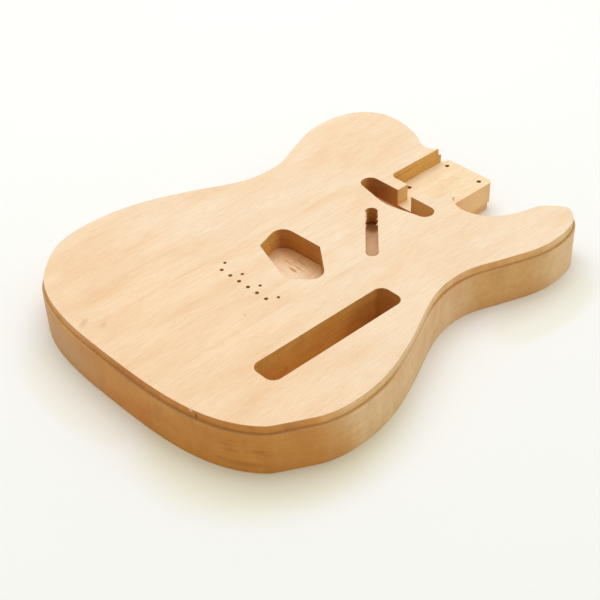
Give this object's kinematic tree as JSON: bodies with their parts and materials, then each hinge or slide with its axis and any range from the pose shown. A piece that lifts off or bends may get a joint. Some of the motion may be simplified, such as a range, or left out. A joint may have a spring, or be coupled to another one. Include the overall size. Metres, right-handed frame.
{
  "type": "electric guitar body",
  "caption": "Unfinished slab guitar body of edge-glued boards with a cutaway, routed for a bolt-on neck, pickups, controls and a through-strung bridge, with a ledge round the top for binding.",
  "frame": {"origin": "on the back face, in the middle of the body's length and width", "axes": "+X along the strings from the butt towards the neck, +Y across the body towards the bass side, +Z out of the top face"},
  "size_m": [0.4064, 0.3238, 0.0444],
  "materials": {
    "bass_wood": "sanded, no finish",
    "centre_wood": "sanded, no finish",
    "treble_wood": "sanded, no finish"
  },
  "bodies": {
    "root": {"bass_board": "bass_wood", "centre_board": "centre_wood", "treble_board": "treble_wood"}
  },
  "joints": []
}
